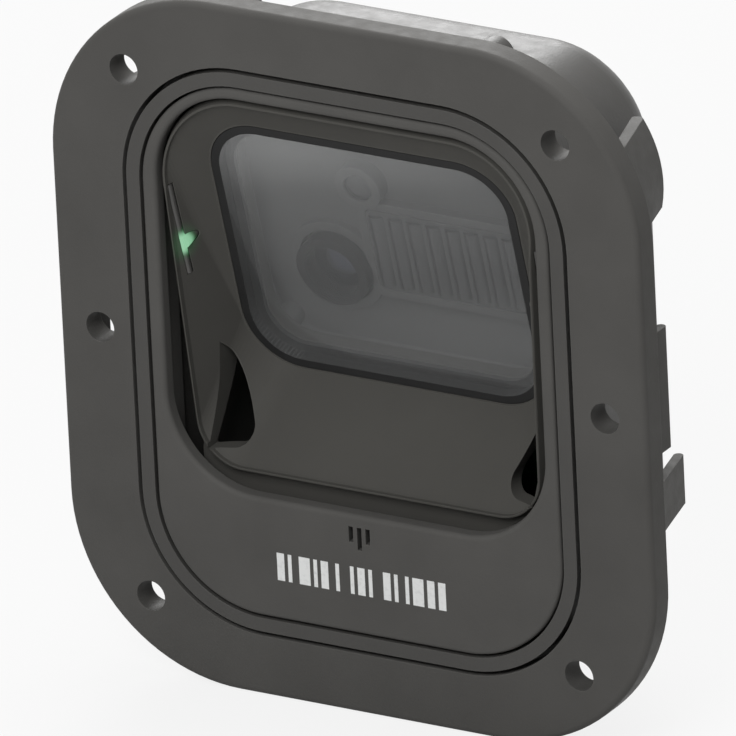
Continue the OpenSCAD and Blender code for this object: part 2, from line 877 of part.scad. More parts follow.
// Black tray behind the window that carries the camera and the lamps
module optics_chassis() {
    color("#1c1c1e")
        upright()
            on_window()
                difference() {
                    union() {
                        translate([0, 0, chassis_back])
                            difference() {
                                slab(chassis_w, chassis_h, chassis_r, chassis_l);
                                translate([0, 0, chassis_floor])
                                    slab(
                                        chassis_w - 2 * chassis_wall, chassis_h - 2 * chassis_wall,
                                        chassis_r - chassis_wall, chassis_l
                                    );
                            }
                        at_corners(chassis_screw_x, chassis_screw_y)
                            translate([0, 0, chassis_back])
                                cylinder(r = chassis_boss_r, h = chassis_l);
                        translate([lamp_x, lamp_y, chassis_back])
                            slab(
                                lamp_w + 2 * chassis_wall, lamp_h + 2 * chassis_wall, lamp_r + chassis_wall,
                                lamp_t + chassis_floor
                            );
                        translate([cam_x, cam_y, chassis_back])
                            cylinder(r = port_r + chassis_wall, h = chassis_floor + barrel_ring);
                        translate([aimer_x, aimer_y, chassis_back])
                            cylinder(r = aimer_r + chassis_wall, h = chassis_floor + aimer_t - aimer_proud);
                    }
                    translate([lamp_x, lamp_y, floor_front])
                        slab(lamp_w + 2 * slip, lamp_h + 2 * slip, lamp_r, chassis_l);
                    translate([lamp_x, lamp_y, chassis_back - over])
                        slab(lamp_w - 2 * lamp_rest, lamp_h - 2 * lamp_rest, lamp_r, chassis_l);
                    translate([cam_x, cam_y, chassis_back - over])
                        cylinder(r = port_r, h = chassis_l);
                    translate([aimer_x, aimer_y, floor_front])
                        cylinder(r = aimer_r + slip, h = chassis_l);
                    translate([aimer_x, aimer_y, chassis_back - over])
                        cylinder(r = aimer_r - aimer_rest, h = chassis_l);
                    at_corners(chassis_screw_x, chassis_screw_y)
                        translate([0, 0, chassis_back - over])
                            cylinder(r = chassis_screw_r + 2 * thread_gap, h = chassis_l + 2 * over);
                }
}

// Clear panel over the lamps, ribbed to spread the light
module illumination_lens() {
    rib_n = 8;
    rib_pitch = lamp_w / rib_n;
    rib_r = rib_pitch / 2;
    rib_sink = 0.6 * rib_r;
    color("#b9bcc0")
        upright()
            on_window()
                translate([lamp_x, lamp_y, floor_front]) {
                    slab(lamp_w, lamp_h, lamp_r, lamp_t);
                    intersection() {
                        for (i = [0:rib_n - 1])
                            translate([(i + 0.5) * rib_pitch - lamp_w / 2, 0, lamp_t - rib_sink])
                                rotate([90, 0, 0])
                                    cylinder(r = rib_r, h = lamp_h - 2 * lamp_r, center = true);
                        translate([-lamp_w / 2, -lamp_h / 2, lamp_t / 2])
                            cube([lamp_w, lamp_h, chassis_l]);
                    }
                }
}

// Domed lens of the aiming lamp
module aimer_lens() {
    dome_r = 1.5 * aimer_r;
    color("#c8ccd0")
        upright()
            on_window()
                translate([aimer_x, aimer_y, floor_front])
                    intersection() {
                        cylinder(r = aimer_r, h = aimer_t);
                        translate([0, 0, aimer_t - dome_r])
                            sphere(dome_r);
                    }
}

// Board outline with wings that reach the stems of the light pipes
module illumination_board() {
    color("#1d5b35")
        upright()
            on_window()
                translate([0, 0, lamp_board_back])
                    linear_extrude(pcb_t)
                        difference() {
                            union() {
                                rounded_rect(lamp_board_w, lamp_board_h, pcb_r);
                                translate([0, pipe_led_y])
                                    rounded_rect(2 * wing_reach, wing_h, pcb_r / 2);
                            }
                            translate([cam_x, cam_y])
                                circle(port_r);
                        }
}

module illumination_leds() {
    led_w = 2.8;
    columns = 4;
    rows = 2;
    pitch_x = (lamp_w - 2 * lamp_rest) / columns;
    pitch_y = (lamp_h - 2 * lamp_rest) / rows;
    color("#e8e2c8")
        upright()
            on_window()
                translate([lamp_x, lamp_y, chassis_back])
                    for (i = [0:columns - 1], j = [0:rows - 1])
                        translate([
                            (i - (columns - 1) / 2) * pitch_x,
                            (j - (rows - 1) / 2) * pitch_y,
                            led_t / 2
                        ])
                            cube([led_w, led_w, led_t], center = true);
}

module aimer_led() {
    color("#d8e8d0")
        upright()
            on_window()
                translate([aimer_x, aimer_y, chassis_back])
                    cylinder(r = aimer_led_r, h = led_t);
}

module indicator_leds() {
    color("#9be0a8")
        upright()
            on_window()
                for (side = [-1, 1])
                    translate([side * pipe_led_x, pipe_led_y, chassis_back + led_t / 2])
                        cube([pip_w, pip_w, led_t], center = true);
}

// Camera holder: a hollow base on the board and a barrel through the chassis
module lens_holder() {
    cell_w = sensor_w + 2 * sensor_gap;
    barrel_top = holder_t + pcb_t + chassis_floor + barrel_l;
    color("#151515")
        upright()
            on_window()
                translate([cam_x, cam_y, imager_front])
                    difference() {
                        union() {
                            slab(holder_w, holder_w, pcb_r, holder_t);
                            cylinder(r = barrel_r, h = barrel_top);
                        }
                        translate([-cell_w / 2, -cell_w / 2, -over])
                            cube([cell_w, cell_w, over + holder_t - holder_roof]);
                        cylinder(r = lens_r - lens_rest, h = barrel_top + over);
                        translate([0, 0, holder_t + pcb_t])
                            cylinder(r = lens_r + slip / 2, h = barrel_top);
                    }
}

// Front lens of the camera, domed at the front
module objective_lens() {
    lens_t = 2.6;
    dome_r = 2 * lens_r;
    color("#3a4a6a")
        upright()
            on_window()
                translate([cam_x, cam_y, imager_front + holder_t + pcb_t])
                    intersection() {
                        cylinder(r = lens_r, h = lens_t);
                        translate([0, 0, lens_t - dome_r])
                            sphere(dome_r);
                    }
}

module imager_board() {
    color("#1d5b35")
        upright()
            on_window()
                translate([cam_x + (imager_w - holder_w) / 2, cam_y, imager_front - pcb_t])
                    slab(imager_w, imager_h, pcb_r / 2, pcb_t);
}

module image_sensor() {
    color("#2a2a34")
        upright()
            on_window()
                translate([cam_x, cam_y, imager_front + sensor_t / 2])
                    cube([sensor_w, sensor_w, sensor_t], center = true);
}

// Connector between the camera board and the lamp board
module board_header() {
    color("#222222")
        upright()
            on_window()
                translate([cam_x + header_x + header_w / 2, cam_y, imager_front + holder_t / 2])
                    cube([header_w, header_h, holder_t], center = true);
}

module main_board() {
    color("#1d5b35")
        upright()
            translate([0, board_y, board_back])
                linear_extrude(pcb_t)
                    difference() {
                        rounded_rect(board_w, board_h, pcb_r);
                        at_corners(board_hole_x, board_hole_y)
                            circle(board_screw_r + 2 * thread_gap);
                    }
}

module processor_chip() {
    color("#1a1a1a")
        upright()
            translate([cpu_x, board_low + cpu_rise, board_front + chip_t / 2])
                cube([cpu_w, cpu_w, chip_t], center = true);
}

// Height on the main board where the camera's flex is plugged in
function flex_plug_y() = win_y + (cam_y - imager_h / 2) * cos(win_tilt) - flex_drop;

// The memory chip makes way for the flex connector where that comes down to it
module memory_chip() {
    below_plug = flex_plug_y() - connector_h / 2 - memory_gap - memory_h / 2;
    color("#1a1a1a")
        upright()
            translate([memory_x, min(board_low + memory_rise, below_plug), board_front + chip_t / 2])
                cube([memory_w, memory_h, chip_t], center = true);
}

module flex_connector() {
    color("#d8d2c0")
        upright()
            translate([cam_x, flex_plug_y(), board_front + connector_t / 2])
                cube([flex_w + 2 * connector_end, connector_h, connector_t], center = true);
}

// Flat cable from the back of the camera board down to its connector
module flex_cable() {
    back = imager_front - pcb_t - slip / 2;
    low = cam_y - imager_h / 2;
    high = low + flex_bond;
    high_end = [
        win_y + high * cos(win_tilt) - back * sin(win_tilt),
        win_z + high * sin(win_tilt) + back * cos(win_tilt)
    ];
    low_end = [
        win_y + low * cos(win_tilt) - back * sin(win_tilt),
        win_z + low * sin(win_tilt) + back * cos(win_tilt)
    ];
    plug_top = [flex_plug_y() + connector_h / 2, board_front + connector_t];
    plug_low = plug_top - [connector_h, 0];
    drop = [0, flex_t];
    color("#b87333")
        upright()
            translate([cam_x - flex_w / 2, 0, 0])
                rotate([90, 0, 90])
                    linear_extrude(flex_w)
                        polygon([
                            high_end, low_end, plug_top + drop, plug_low + drop,
                            plug_low, plug_top, low_end - drop, high_end - drop
                        ]);
}

// Jack for the interface cable, with its mouth in the underside of the housing
module interface_jack() {
    mouth_w = jack_w - 2 * jack_shield;
    mouth_t = jack_t - 2 * jack_shield;
    color("#2b2b2d")
        upright()
            translate([0, jack_low, board_front])
                difference() {
                    translate([-jack_w / 2, 0, 0])
                        cube([jack_w, jack_l, jack_t]);
                    translate([-mouth_w / 2, -over, jack_shield])
                        cube([mouth_w, jack_l - jack_wall + over, mouth_t]);
                    translate([-mouth_w / 4, -over, jack_t - jack_shield - over])
                        cube([mouth_w / 2, jack_l - jack_wall + over, over + jack_shield / 2]);
                }
}

// Sprung wires of the jack, one row on the board side of its mouth
module jack_contacts() {
    wire = 0.5;
    lift = 2.2;
    run = jack_l / 2;
    color("#c9a227")
        upright()
            for (i = [0:contact_n - 1])
                translate([
                    (i - (contact_n - 1) / 2) * contact_pitch - wire / 2,
                    jack_low + jack_l / 3,
                    board_front + jack_shield
                ])
                    rotate([90, 0, 90])
                        linear_extrude(wire)
                            polygon([
                                [0, lift], [wire, lift], [run, wire], [run, 0], [run - wire, 0]
                            ]);
}

module beeper() {
    color("#141414")
        upright()
            translate([0, beeper_y, cover_back - beeper_t])
                difference() {
                    cylinder(r = beeper_r, h = beeper_t);
                    translate([0, beeper_r / 2, beeper_t - beeper_port_l])
                        cylinder(r = beeper_port_r, h = beeper_port_l + over);
                }
}

module bezel_screws() {
    color("#8d9094")
        upright()
            at_corners(lug_x, lug_y)
                translate([0, 0, -lug_boss_l - lug_t])
                    pan_screw(lug_screw_r, lug_screw_l);
}

module cover_screws() {
    seat = head_recess_l - body_depth;
    color("#8d9094")
        upright()
            for (side = [-1, 1])
                translate([side * cover_screw_x, cover_screw_y, seat])
                    pan_screw(cover_screw_r, cover_back - cover_screw_stop - seat);
}

module frame_screws() {
    color("#8d9094")
        upright()
            for (side = [-1, 1])
                translate([side * frame_screw_x, frame_screw_y, foot_z - foot_t])
                    pan_screw(frame_screw_r, foot_t + frame_screw_run);
}

module chassis_screws() {
    color("#8d9094")
        upright()
            on_window()
                at_corners(chassis_screw_x, chassis_screw_y)
                    translate([0, 0, chassis_back])
                        pan_screw(chassis_screw_r, chassis_l + lip_grip);
}

module board_screws() {
    color("#8d9094")
        upright()
            translate([0, board_y, board_front])
                at_corners(board_hole_x, board_hole_y)
                    mirror([0, 0, 1])
                        pan_screw(board_screw_r, pcb_t + standoff_h);
}

mounting_bezel();
rear_housing();
front_cover();
window_frame();
window_gasket();
scan_window();
light_pipe_left();
light_pipe_right();
optics_chassis();
illumination_lens();
aimer_lens();
illumination_board();
illumination_leds();
aimer_led();
indicator_leds();
lens_holder();
objective_lens();
imager_board();
image_sensor();
board_header();
main_board();
processor_chip();
memory_chip();
flex_connector();
flex_cable();
interface_jack();
jack_contacts();
beeper();
bezel_screws();
cover_screws();
frame_screws();
chassis_screws();
board_screws();
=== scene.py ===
"""Finishes, chin print, studio and camera for the fixed barcode reader with a panel bezel."""

import logging
import math
from abc import ABC, abstractmethod
from dataclasses import dataclass, field
from enum import Enum

import bmesh
import bpy
from mathutils import Matrix, Vector


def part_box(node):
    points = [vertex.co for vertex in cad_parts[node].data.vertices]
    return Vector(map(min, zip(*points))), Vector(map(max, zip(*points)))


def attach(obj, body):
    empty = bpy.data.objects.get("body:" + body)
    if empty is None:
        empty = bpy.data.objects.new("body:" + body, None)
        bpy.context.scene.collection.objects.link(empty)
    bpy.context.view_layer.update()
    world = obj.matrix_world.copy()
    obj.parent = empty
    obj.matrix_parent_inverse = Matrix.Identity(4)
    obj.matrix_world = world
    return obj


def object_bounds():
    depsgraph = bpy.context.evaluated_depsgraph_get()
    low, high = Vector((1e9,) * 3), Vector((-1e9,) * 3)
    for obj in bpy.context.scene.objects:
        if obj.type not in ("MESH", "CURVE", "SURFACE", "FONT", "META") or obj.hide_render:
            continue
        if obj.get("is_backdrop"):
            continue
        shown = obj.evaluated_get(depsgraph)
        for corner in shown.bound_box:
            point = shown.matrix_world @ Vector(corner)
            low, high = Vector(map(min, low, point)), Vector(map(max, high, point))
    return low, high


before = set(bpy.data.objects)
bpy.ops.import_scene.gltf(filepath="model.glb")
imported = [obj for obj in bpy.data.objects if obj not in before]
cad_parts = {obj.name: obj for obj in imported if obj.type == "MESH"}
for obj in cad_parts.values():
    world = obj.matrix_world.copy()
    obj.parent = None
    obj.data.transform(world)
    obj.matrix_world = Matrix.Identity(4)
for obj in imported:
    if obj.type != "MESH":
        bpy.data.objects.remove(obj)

LOG = logging.getLogger("barcode_reader")
MM = 0.001
BODY = "root"

Colour = tuple[float, float, float]
Point = tuple[float, float, float]
Span = tuple[float, float]
Socket = bpy.types.NodeSocket

# Between these two values lies most of a noise.
NOISE_SPAN: Span = (0.3, 0.7)
WHITE: Colour = (1.0, 1.0, 1.0)
BLACK: Colour = (0.0, 0.0, 0.0)


def shade(red: int, green: int, blue: int) -> Colour:
    """Turns display colour values into the linear ones that shaders take.

    Args:
        red: Red from 0 to 255.
        green: Green from 0 to 255.
        blue: Blue from 0 to 255.

    Returns:
        The linear colour.
    """
    values = (channel / 255.0 for channel in (red, green, blue))
    return tuple(v / 12.92 if v <= 0.04045 else ((v + 0.055) / 1.055) ** 2.4 for v in values)


def scaled(colour: Colour, factor: float) -> Colour:
    """Returns a colour made lighter or darker by a factor."""
    return tuple(min(1.0, channel * factor) for channel in colour)


def opaque(colour: Colour) -> tuple[float, float, float, float]:
    """Returns a colour with full alpha, as colour sockets take it."""
    return (*colour, 1.0)


def seen_directly(tree: bpy.types.NodeTree) -> Socket:
    """Tells the rays that show the surroundings, straight, mirrored or through glass.

    Args:
        tree: Nodes of the floor's material or of the world.

    Returns:
        A value of 1 for those rays and 0 for the others.
    """
    path = tree.nodes.new("ShaderNodeLightPath")
    seen = path.outputs["Is Camera Ray"]
    for kind in ("Is Glossy Ray", "Is Transmission Ray"):
        either = tree.nodes.new("ShaderNodeMath")
        either.operation = "MAXIMUM"
        tree.links.new(seen, either.inputs[0])
        tree.links.new(path.outputs[kind], either.inputs[1])
        seen = either.outputs["Value"]
    return seen


class ShaderGraph:
    """Adds and links the nodes of one material round a Principled shader."""

    # Cosine between a face and its softened normal, from a plain face to a sharp edge.
    EDGE_SPAN: Span = (0.98, 0.8)
    BEVEL_SAMPLES = 4

    def __init__(self, name: str) -> None:
        """Makes the material with its output, its shader and object coordinates.

        Args:
            name: Name of the material.
        """
        self.material = bpy.data.materials.new(name)
        self.material.use_nodes = True
        self.tree = self.material.node_tree
        self.tree.nodes.clear()
        self.output = self.add("ShaderNodeOutputMaterial")
        self.shader = self.add("ShaderNodeBsdfPrincipled")
        self.wire(self.shader.outputs["BSDF"], self.output, "Surface")
        self.place = self.add("ShaderNodeTexCoord").outputs["Object"]

    def add(
        self, kind: str, values: dict[str | int, object] | None = None, **settings: object
    ) -> bpy.types.Node:
        """Adds a node.

        Args:
            kind: Blender's name of the node type.
            values: Constants for the node's inputs.
            settings: Attributes to set on the node.

        Returns:
            The new node.
        """
        node = self.tree.nodes.new(kind)
        for name, setting in settings.items():
            setattr(node, name, setting)
        for socket, value in (values or {}).items():
            node.inputs[socket].default_value = value
        return node

    def wire(self, source: Socket, node: bpy.types.Node, socket: str | int) -> None:
        """Links a source to an input of a node."""
        self.tree.links.new(source, node.inputs[socket])

    def fix(self, **sockets: object) -> None:
        """Sets constant values on the shader; underscores in a name stand for spaces."""
        for name, value in sockets.items():
            self.shader.inputs[name.replace("_", " ")].default_value = value

    def noise(self, scale: float, detail: float, stretch: Point | None = None) -> Socket:
        """Adds noise on object coordinates.

        Args:
            scale: Grains for each metre.
            detail: Number of finer octaves.
            stretch: Scale along each axis, or None for an even grain.

        Returns:
            The noise value.
        """
        node = self.add("ShaderNodeTexNoise", {"Scale": scale, "Detail": detail})
        place = self.place
        if stretch:
            mapping = self.add("ShaderNodeMapping", {"Scale": stretch})
            self.wire(place, mapping, "Vector")
            place = mapping.outputs["Vector"]
        self.wire(place, node, "Vector")
        return node.outputs["Fac"]

    def ramp(self, value: Socket, stops: list[tuple[float, Colour]]) -> Socket:
        """Turns a value into a colour.

        Args:
            value: The value from 0 to 1.
            stops: Places on the ramp with their colours.

        Returns:
            The colour.
        """
        node = self.add("ShaderNodeValToRGB")
        elements = node.color_ramp.elements
        while len(elements) < len(stops):
            elements.new(1.0)
        for element, (position, colour) in zip(elements, stops):
            element.position = position
            element.color = opaque(colour)
        self.wire(value, node, "Fac")
        return node.outputs["Color"]

    def tint(self, value: Socket, low: Colour, high: Colour, span: Span = NOISE_SPAN) -> None:
        """Gives the shader a colour that follows a value.

        Args:
            value: The value from 0 to 1.
            low: Colour at the low end of the span.
            high: Colour at the high end of the span.
            span: The two ends.
        """
        self.wire(self.ramp(value, list(zip(span, (low, high)))), self.shader, "Base Color")

    def remap(self, value: Socket, source: Span, target: Span, **settings: object) -> Socket:
        """Maps one span of values to another.

        Args:
            value: The value.
            source: The span that the value has.
            target: The span that the result has.
            settings: Attributes to set on the node.

        Returns:
            The mapped value.
        """
        names = ("From Min", "From Max", "To Min", "To Max")
        node = self.add("ShaderNodeMapRange", dict(zip(names, source + target)), **settings)
        self.wire(value, node, "Value")
        return node.outputs["Result"]

    def roughen(self, noise: Socket, low: float, high: float) -> None:
        """Makes the shader's roughness follow a noise between two values."""
        self.wire(self.remap(noise, NOISE_SPAN, (low, high)), self.shader, "Roughness")

    def fade(self, point: Point, core: float, reach: float) -> Socket:
        """Falls from 1 round a point to 0 away from it.

        Args:
            point: The point on object coordinates.
            core: Distance up to which the value is 1, in metres.
            reach: Distance from which the value is 0, in metres.

        Returns:
            The value.
        """
        away = self.add("ShaderNodeVectorMath", {1: point}, operation="DISTANCE")
        self.wire(self.place, away, 0)
        return self.remap(
            away.outputs["Value"], (core, reach), (1.0, 0.0), interpolation_type="SMOOTHERSTEP"
        )

    def along(self, start: Point, end: Point) -> Socket:
        """Rises from 0 at one point to 1 at another.

        Args:
            start: The first point on object coordinates.
            end: The second point.

        Returns:
            The value, held between 0 and 1.
        """
        way = Vector(end) - Vector(start)
        step = way / way.length_squared
        across = self.add("ShaderNodeVectorMath", {1: step}, operation="DOT_PRODUCT")
        self.wire(self.place, across, 0)
        begin = Vector(start).dot(step)
        share = self.add("ShaderNodeMath", {1: begin}, operation="SUBTRACT", use_clamp=True)
        self.wire(across.outputs["Value"], share, 0)
        return share.outputs["Value"]

    def soft_normal(self, radius: float) -> Socket:
        """Returns the normal that the piece would have with rounded edges of a radius in metres."""
        return self.add("ShaderNodeBevel", {"Radius": radius}, samples=self.BEVEL_SAMPLES).outputs["Normal"]

    def edges(self, radius: float) -> Socket:
        """Finds the sharp edges of a piece.

        Args:
            radius: Distance from an edge that still counts, in metres.

        Returns:
            A value of 1 along the edges and 0 on the faces.
        """
        turn = self.add("ShaderNodeVectorMath", operation="DOT_PRODUCT")
        self.wire(self.soft_normal(radius), turn, 0)
        self.wire(self.add("ShaderNodeNewGeometry").outputs["Normal"], turn, 1)
        return self.remap(turn.outputs["Value"], self.EDGE_SPAN, (0.0, 1.0))

    def blend(self, share: Socket, first: Socket, second: Colour) -> Socket:
        """Mixes a constant colour into another by a share.

        Args:
            share: Share of the second colour from 0 to 1.
            first: The colour to start from.
            second: The colour to mix in.

        Returns:
            The mixed colour.
        """
        # A mix node has inputs for numbers, vectors and colours: 6, 7 and output 2 are the colours.
        node = self.add("ShaderNodeMix", {7: opaque(second)}, data_type="RGBA")
        self.wire(share, node, 0)
        self.wire(first, node, 6)
        return node.outputs[2]

    def relief(self, height: Socket, depth: float, edge: float = 0.0) -> None:
        """Gives the shader a bumpy normal over softened edges.

        Args:
            height: The relief's height from 0 to 1.
            depth: Depth of the relief in metres.
            edge: Radius that the piece's edges seem to have, in metres.
        """
        bump = self.add("ShaderNodeBump", {"Distance": depth})
        self.wire(height, bump, "Height")
        if edge > 0.0:
            self.wire(self.soft_normal(edge), bump, "Normal")
        self.wire(bump.outputs["Normal"], self.shader, "Normal")


@dataclass(frozen=True)
class Finish(ABC):
    """A finish that makes one material."""

    name: str

    @abstractmethod
    def paint(self, graph: ShaderGraph) -> None:
        """Sets up the material's shader.

        Args:
            graph: The material's nodes.
        """

    def build(self) -> bpy.types.Material:
        """Makes the material.

        Returns:
            The material.
        """
        graph = ShaderGraph(self.name)
        self.paint(graph)
        return graph.material


@dataclass(frozen=True)
class MouldedPlastic(Finish):
    """Plastic from a spark-eroded mould: a fine grain, faint flow clouds and soft edges with a painted
    highlight along them.
    """

    colour: Colour
    roughness: float = 0.5
    specular: float = 0.05
    grain: float = 2600.0
    grain_depth: float = 0.03 * MM
    cloud: float = 0.06
    cloud_scale: float = 70.0
    # Least and most change of the roughness from patch to patch.
    patch: Span = (-0.05, 0.06)
    patch_scale: float = 420.0
    edge: float = 0.2 * MM
    # How much lighter the painted highlight along the edges makes the colour.
    edge_highlight: float = 0.35
    # Width of the painted highlight along an edge, in radii of that edge.
    highlight_width: float = 1.5

    def paint(self, graph: ShaderGraph) -> None:
        """Sets up the grained plastic.

        Args:
            graph: The material's nodes.
        """
        tones = (scaled(self.colour, 1.0 - self.cloud), scaled(self.colour, 1.0 + self.cloud))
        clouded = graph.ramp(graph.noise(self.cloud_scale, detail=3.0), list(zip(NOISE_SPAN, tones)))
        # Painted highlight: the colour is made lighter along every sharp edge.
        edges = graph.edges(self.highlight_width * self.edge)
        highlighted = graph.blend(edges, clouded, scaled(self.colour, 1.0 + self.edge_highlight))
        graph.wire(highlighted, graph.shader, "Base Color")
        low, high = (self.roughness + change for change in self.patch)
        graph.roughen(graph.noise(self.patch_scale, detail=2.0), low, high)
        graph.fix(Specular_IOR_Level=self.specular)
        graph.relief(graph.noise(self.grain, detail=3.0), self.grain_depth, self.edge)


@dataclass(frozen=True, kw_only=True)
class HaloPlastic(MouldedPlastic):
    """Moulded plastic with a painted glow round a light behind it."""

    glow: Colour
    lit_at: Point
    core: float
    reach: float

    def paint(self, graph: ShaderGraph) -> None:
        """Sets up the plastic with its painted glow.

        Args:
            graph: The material's nodes.
        """
        super().paint(graph)
        # Painted glow: emission that fades out away from the lit point.
        graph.wire(graph.fade(self.lit_at, self.core, self.reach), graph.shader, "Emission Strength")
        graph.fix(Emission_Color=opaque(self.glow))


@dataclass(frozen=True)
class SoftRubber(Finish):
    """Dull rubber with a dusty bloom."""

    colour: Colour
    bloom_tone: float = 1.8
    bloom_scale: float = 300.0
    bloom_span: Span = (0.35, 0.75)
    roughness: Span = (0.6, 0.78)
    specular: float = 0.3
    grain: float = 3200.0
    grain_depth: float = 0.015 * MM
    edge: float = 0.15 * MM

    def paint(self, graph: ShaderGraph) -> None:
        """Sets up the rubber.

        Args:
            graph: The material's nodes.
        """
        dust = graph.noise(self.bloom_scale, detail=4.0)
        graph.tint(dust, self.colour, scaled(self.colour, self.bloom_tone), self.bloom_span)
        graph.roughen(dust, *self.roughness)
        graph.fix(Specular_IOR_Level=self.specular)
        graph.relief(graph.noise(self.grain, detail=2.0), self.grain_depth, self.edge)


@dataclass(frozen=True)
class TintedGlass(Finish):
    """Smoked glass whose colour changes along a line across it: a grey tint with painted reflection and
    painted shade, and a film that dulls its shine.
    """

    start: Point
    end: Point
    haze: tuple[tuple[float, Colour], ...]
    cover: float = 0.26
    index: float = 1.52
    film_scale: float = 45.0
    roughness: Span = (0.02, 0.05)

    def paint(self, graph: ShaderGraph) -> None:
        """Sets up the glass.

        Args:
            graph: The material's nodes.
        """
        # Painted light along the line: a painted reflection lightens the start and painted shade darkens
        # the stretch before the end.
        tint_and_painted_light = graph.ramp(graph.along(self.start, self.end), list(self.haze))
        graph.wire(tint_and_painted_light, graph.shader, "Base Color")
        graph.roughen(graph.noise(self.film_scale, detail=4.0), *self.roughness)
        graph.fix(Alpha=self.cover, IOR=self.index)


@dataclass(frozen=True)
class CoatedLens(Finish):
    """Dark optical glass with a coloured coat."""

    colour: Colour
    coat: Colour
    coat_weight: float = 0.8
    coat_roughness: float = 0.03
    index: float = 1.6
    haze_tone: float = 1.3
    haze_scale: float = 600.0
    roughness: Span = (0.03, 0.06)

    def paint(self, graph: ShaderGraph) -> None:
        """Sets up the lens.

        Args:
            graph: The material's nodes.
        """
        haze = graph.noise(self.haze_scale, detail=2.0)
        graph.tint(haze, self.colour, scaled(self.colour, self.haze_tone))
        graph.roughen(haze, *self.roughness)
        graph.fix(IOR=self.index, Specular_Tint=opaque(self.coat))
        graph.fix(Coat_Weight=self.coat_weight, Coat_Roughness=self.coat_roughness)


@dataclass(frozen=True)
class ClearPlastic(Finish):
    """Clear moulded plastic, a little smoky."""

    colour: Colour
    clearness: float = 0.3
    index: float = 1.49
    flow_tone: float = 0.9
    flow_scale: float = 150.0
    roughness: Span = (0.12, 0.2)

    def paint(self, graph: ShaderGraph) -> None:
        """Sets up the clear plastic.

        Args:
            graph: The material's nodes.
        """
        flow = graph.noise(self.flow_scale, detail=3.0)
        graph.tint(flow, scaled(self.colour, self.flow_tone), self.colour)
        graph.roughen(flow, *self.roughness)
        graph.fix(Transmission_Weight=self.clearness, IOR=self.index)


@dataclass(frozen=True)
class FrostedPlastic(Finish):
    """Clear plastic with a frosted skin."""

    colour: Colour
    index: float = 1.49
    frost_tone: float = 0.85
    frost_scale: float = 900.0
    roughness: Span = (0.3, 0.42)

    def paint(self, graph: ShaderGraph) -> None:
        """Sets up the frosted skin.

        Args:
            graph: The material's nodes.
        """
        frost = graph.noise(self.frost_scale, detail=3.0)
        graph.tint(frost, scaled(self.colour, self.frost_tone), self.colour)
        graph.roughen(frost, *self.roughness)
        graph.fix(IOR=self.index)


@dataclass(frozen=True, kw_only=True)
class GlowingPipe(FrostedPlastic):
    """Frosted light pipe that glows most where its stem brings the light in."""

    heart: Colour
    glow: Colour
    lit_at: Point
    core: float
    reach: float
    heart_span: Span = (0.3, 1.0)

    def paint(self, graph: ShaderGraph) -> None:
        """Sets up the frosted skin with its glow.

        Args:
            graph: The material's nodes.
        """
        super().paint(graph)
        fade = graph.fade(self.lit_at, self.core, self.reach)
        light = graph.ramp(fade, list(zip(self.heart_span, (self.glow, self.heart))))
        graph.wire(light, graph.shader, "Emission Color")
        graph.wire(fade, graph.shader, "Emission Strength")


@dataclass(frozen=True)
class SolderMask(Finish):
    """Circuit board: a solder mask with raised tracks and small plated holes."""

    colour: Colour
    track: Colour
    plating: Colour
    weave_tone: float = 0.88
    track_scale: float = 130.0
    track_width: float = 0.035
    track_blur: float = 0.1
    track_height: float = 0.03 * MM
    row_shift: float = 0.37
    row_squash: float = 0.6
    squashed_rows: int = 3
    hole_scale: float = 210.0
    hole_span: Span = (0.12, 0.14)
    roughness: float = 0.34
    specular: float = 0.5

    def paint(self, graph: ShaderGraph) -> None:
        """Sets up the board.

        Args:
            graph: The material's nodes.
        """
        # The brick pattern lies in XY, so it is turned to stand as the boards do.
        turn = graph.add("ShaderNodeMapping", {"Rotation": (math.radians(90.0), 0.0, 0.0)})
        graph.wire(graph.place, turn, "Vector")
        tracks = graph.add(
            "ShaderNodeTexBrick",
            {
                "Scale": self.track_scale,
                "Mortar Size": self.track_width,
                "Mortar Smooth": self.track_blur,
                "Color1": opaque(self.colour),
                "Color2": opaque(scaled(self.colour, self.weave_tone)),
                "Mortar": opaque(self.track),
            },
            offset=self.row_shift,
            squash=self.row_squash,
            squash_frequency=self.squashed_rows,
        )
        graph.wire(turn.outputs["Vector"], tracks, "Vector")
        holes = graph.add("ShaderNodeTexVoronoi", {"Scale": self.hole_scale})
        graph.wire(graph.place, holes, "Vector")
        mask = graph.ramp(holes.outputs["Distance"], list(zip(self.hole_span, (WHITE, BLACK))))
        graph.wire(graph.blend(mask, tracks.outputs["Color"], self.plating), graph.shader, "Base Color")
        graph.fix(Roughness=self.roughness, Specular_IOR_Level=self.specular)
        graph.relief(tracks.outputs["Fac"], self.track_height)


@dataclass(frozen=True)
class BrushedMetal(Finish):
    """Plated metal with fine drawing lines."""

    colour: Colour
    roughness: float = 0.3
    line_tone: float = 0.86
    line_scale: float = 1800.0
    line_stretch: Point = (1.0, 0.12, 1.0)
    # Least and most change of the roughness from line to line.
    line_gloss: Span = (-0.07, 0.1)
    line_depth: float = 0.006 * MM
    edge: float = 0.08 * MM

    def paint(self, graph: ShaderGraph) -> None:
        """Sets up the metal.

        Args:
            graph: The material's nodes.
        """
        lines = graph.noise(self.line_scale, detail=3.0, stretch=self.line_stretch)
        graph.tint(lines, scaled(self.colour, self.line_tone), self.colour)
        low, high = (self.roughness + change for change in self.line_gloss)
        graph.roughen(lines, low, high)
        graph.fix(Metallic=1.0)
        graph.relief(lines, self.line_depth, self.edge)


